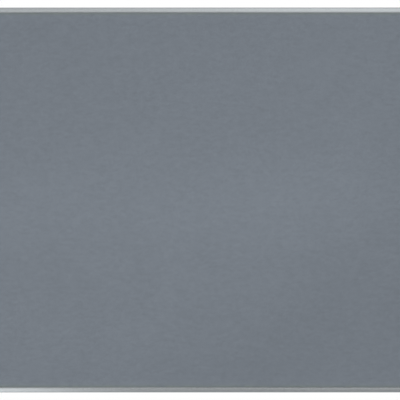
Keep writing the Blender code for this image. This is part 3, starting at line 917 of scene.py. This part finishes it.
def studio_tones(graph):
    """What metal reflects. Ahead is where the board faces, and across and rise are slopes from there."""

    # Above the horizon the room brightens to the right, below it a window stands left of a dark wall
    horizon = (-0.02, 0.02)
    upper_reach, upper_tones = (-0.34, 0.09), (0.36, 1.27)
    window_edge, window, wall = (-0.165, -0.110), 1.60, 0.385
    corner_edge, corner_drop = (0.10, 0.20), 0.06
    # Farther down the floor brightens to the right, and farther up the ceiling darkens
    steep_edge, steep_reach = (0.38, 0.54), (-0.25, 0.12)
    low_tones, high_tones = (0.24, 0.68), (0.54, 0.16)
    # Far to the sides and behind the board the room is nearly white
    aside_edge, aside_tone = (0.35, 0.75), (0.80, 0.81, 0.82)
    behind_edge, behind_tone = (-0.60, -0.40), (0.86, 0.87, 0.88)
    least_ahead = 0.05

    direction = graph.node("SeparateXYZ", {0: graph.node("TexCoord").outputs["Generated"]}).outputs
    ahead = graph.larger(graph.times(direction["Y"], -1.0), least_ahead)
    across = graph.over(direction["X"], ahead)
    rise = graph.over(direction["Z"], ahead)

    upper = graph.ranged(across, *upper_reach, *upper_tones)
    lower = graph.minus(
        graph.ranged(across, *window_edge, window, wall, smooth=True),
        graph.ranged(across, *corner_edge, 0.0, corner_drop),
    )
    above = graph.ranged(rise, *horizon, smooth=True)
    level = graph.mixed(above, grey(graph, lower), grey(graph, upper))
    aside = graph.ranged(graph.math("ABSOLUTE", across), *aside_edge, smooth=True)
    steep = graph.ranged(graph.math("ABSOLUTE", rise), *steep_edge, smooth=True)
    low, high = (graph.ranged(across, *steep_reach, *tones) for tones in (low_tones, high_tones))
    steep_tone = graph.mixed(aside, graph.mixed(above, grey(graph, low), grey(graph, high)), aside_tone)
    behind = graph.ranged(direction["Y"], *behind_edge, smooth=True)
    return graph.mixed(behind, graph.mixed(steep, level, steep_tone), behind_tone)


def studio_world(stage):
    """White for the camera, even light for matt surfaces, and the studio's tones in metal."""
    world = bpy.data.worlds.new("studio")
    world.use_nodes = True
    world.node_tree.nodes.clear()
    graph = Graph(world.node_tree)
    path = graph.node("LightPath").outputs
    reflected = graph.larger(path["Is Glossy Ray"], path["Is Transmission Ray"])
    lit = graph.mixed(reflected, (stage.room_light,) * 3, studio_tones(graph))
    sky = graph.mixed(path["Is Camera Ray"], lit, WHITE)
    backdrop = graph.node("Background", {"Color": sky, "Strength": 1.0})
    output = graph.node("OutputWorld")
    graph.tree.links.new(backdrop.outputs[0], output.inputs["Surface"])
    bpy.context.scene.world = world


def floor(stage):
    """A pale round floor, which keeps the board's shadow."""
    work = bmesh.new()
    bmesh.ops.create_circle(work, cap_ends=True, segments=FLOOR_SIDES, radius=stage.floor_reach)
    mesh = bpy.data.meshes.new("floor")
    work.to_mesh(mesh)
    work.free()
    mesh.materials.append(floor_finish(stage))
    ground = shown(bpy.data.objects.new("floor", mesh))
    ground.location.z = CAD_BOX[0][2] - stage.floor_drop
    ground.visible_glossy = False


def floor_finish(stage):
    """A matt floor that fades into the white background at its rim, and is clear from below."""

    patch_size, patch_shade = 0.77, 0.985
    material = bpy.data.materials.new("floor")
    material.use_nodes = True
    nodes = material.node_tree.nodes
    matt = nodes["Principled BSDF"]
    graph = Graph(material.node_tree)
    at = graph.place()
    scuffed = graph.spread(graph.noise(at, patch_size, detail=3.0), patch_shade, 1.0)
    tint = graph.shaded(stage.floor[:], scuffed)
    graph.feed(matt, {"Base Color": tint, "Roughness": 0.9, "Specular IOR Level": 0.2})
    seen = graph.node("LightPath").outputs["Is Camera Ray"]
    away = graph.node("VectorMath", {0: at}, operation="LENGTH").outputs["Value"]
    fade = graph.times(graph.ranged(away, FLOOR_FADE_START, FLOOR_FADE_END, smooth=True), seen)
    white = graph.node("Emission", {"Color": opaque(WHITE), "Strength": 1.0})
    faded = graph.node("MixShader", {0: fade, 1: matt.outputs[0], 2: white.outputs[0]})
    below = graph.times(graph.node("NewGeometry").outputs["Backfacing"], seen)
    clear = graph.node("BsdfTransparent")
    ground = graph.node("MixShader", {0: below, 1: faded.outputs[0], 2: clear.outputs[0]})
    graph.tree.links.new(ground.outputs[0], nodes["Material Output"].inputs["Surface"])
    return material


# Operators


class NOTICEBOARD_OT_set_stage(bpy.types.Operator):
    """Sets up the floor, the white background, the lamps and the camera"""

    bl_idname = "noticeboard.set_stage"
    bl_label = "Set Stage"

    def execute(self, context):
        stage = context.scene.noticeboard_stage
        context.scene.view_settings.view_transform = "Standard"
        camera(stage)
        studio_world(stage)
        floor(stage)
        for name, box in SOFTBOXES.items():
            softbox(name, box, getattr(stage, box.setting))
        light_pool(stage.pool_light)
        light_band(stage.band_light)
        return {"FINISHED"}


class NOTICEBOARD_OT_lay_felt(bpy.types.Operator):
    """Lays the felt facing over the softboard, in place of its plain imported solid"""

    bl_idname = "noticeboard.lay_felt"
    bl_label = "Lay Felt"

    def execute(self, context):
        felt = context.scene.noticeboard_felt
        low, high = FELT_BOX
        size = high - low
        mesh = felt_mesh(low, high, felt)
        mesh.materials.append(felt_finish(felt, size / 2))
        sheet = shown(bpy.data.objects.new("felt_sheet", mesh))
        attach(sheet, BOARD)
        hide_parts("felt_facing")
        return {"FINISHED"}


class NOTICEBOARD_OT_finish_panel(bpy.types.Operator):
    """Finishes the softboard core and the hardboard back"""

    bl_idname = "noticeboard.finish_panel"
    bl_label = "Finish Panel"

    def execute(self, context):
        panel = context.scene.noticeboard_panel
        dress(("softboard_core",), softboard_finish(panel), panel.soft_edge)
        dress(("hardboard_back",), hardboard_finish(panel), panel.soft_edge)
        return {"FINISHED"}


class NOTICEBOARD_OT_finish_rails(bpy.types.Operator):
    """Finishes the four rails in anodised aluminium, drawn along their length"""

    bl_idname = "noticeboard.finish_rails"
    bl_label = "Finish Rails"

    def execute(self, context):
        rails, age = context.scene.noticeboard_rails, context.scene.noticeboard_age
        across = aluminium_finish(rails, age, "aluminium drawn across", RIGHT)
        upright = aluminium_finish(rails, age, "aluminium drawn upright", UP)
        dress(RAILS_ACROSS, across, rails.soft_edge)
        dress(RAILS_UPRIGHT, upright, rails.soft_edge)
        return {"FINISHED"}


class NOTICEBOARD_OT_finish_corners(bpy.types.Operator):
    """Finishes the four moulded corners and their rubber bumpers"""

    bl_idname = "noticeboard.finish_corners"
    bl_label = "Finish Corners"

    def execute(self, context):
        fittings, age = context.scene.noticeboard_fittings, context.scene.noticeboard_age
        dress(CORNERS, plastic_finish(fittings, age), fittings.moulded_edge)
        dress(BUMPERS, rubber_finish(fittings, age), fittings.moulded_edge)
        return {"FINISHED"}


class NOTICEBOARD_OT_finish_fixings(bpy.types.Operator):
    """Finishes the corner screws and the hangers in zinc plating"""

    bl_idname = "noticeboard.finish_fixings"
    bl_label = "Finish Fixings"

    def execute(self, context):
        fittings, age = context.scene.noticeboard_fittings, context.scene.noticeboard_age
        dress(CORNER_SCREWS + HANGERS, zinc_finish(fittings, age), fittings.plated_edge)
        return {"FINISHED"}


class NOTICEBOARD_PT_sidebar(bpy.types.Panel):
    """The noticeboard's pieces, sizes and colours"""

    bl_idname = "NOTICEBOARD_PT_sidebar"
    bl_label = "Felt Noticeboard"
    bl_space_type = "VIEW_3D"
    bl_region_type = "UI"
    bl_category = "Noticeboard"

    def draw(self, context):
        for operator in OPERATORS:
            self.layout.operator(operator.bl_idname)
        for name, group in SETTINGS.items():
            box = self.layout.box()
            for setting in group.__annotations__:
                box.prop(getattr(context.scene, name), setting)


OPERATORS = (
    NOTICEBOARD_OT_set_stage,
    NOTICEBOARD_OT_lay_felt,
    NOTICEBOARD_OT_finish_panel,
    NOTICEBOARD_OT_finish_rails,
    NOTICEBOARD_OT_finish_corners,
    NOTICEBOARD_OT_finish_fixings,
)
CLASSES = (*SETTINGS.values(), *OPERATORS, NOTICEBOARD_PT_sidebar)


def register():
    for cls in CLASSES:
        bpy.utils.register_class(cls)
    for name, group in SETTINGS.items():
        setattr(bpy.types.Scene, name, PointerProperty(type=group))


def unregister():
    for name in SETTINGS:
        delattr(bpy.types.Scene, name)
    for cls in reversed(CLASSES):
        bpy.utils.unregister_class(cls)


def main():
    register()
    for operator in OPERATORS:
        group, action = operator.bl_idname.split(".")
        getattr(getattr(bpy.ops, group), action)()
    bpy.context.view_layer.update()


if __name__ == "__main__":
    main()
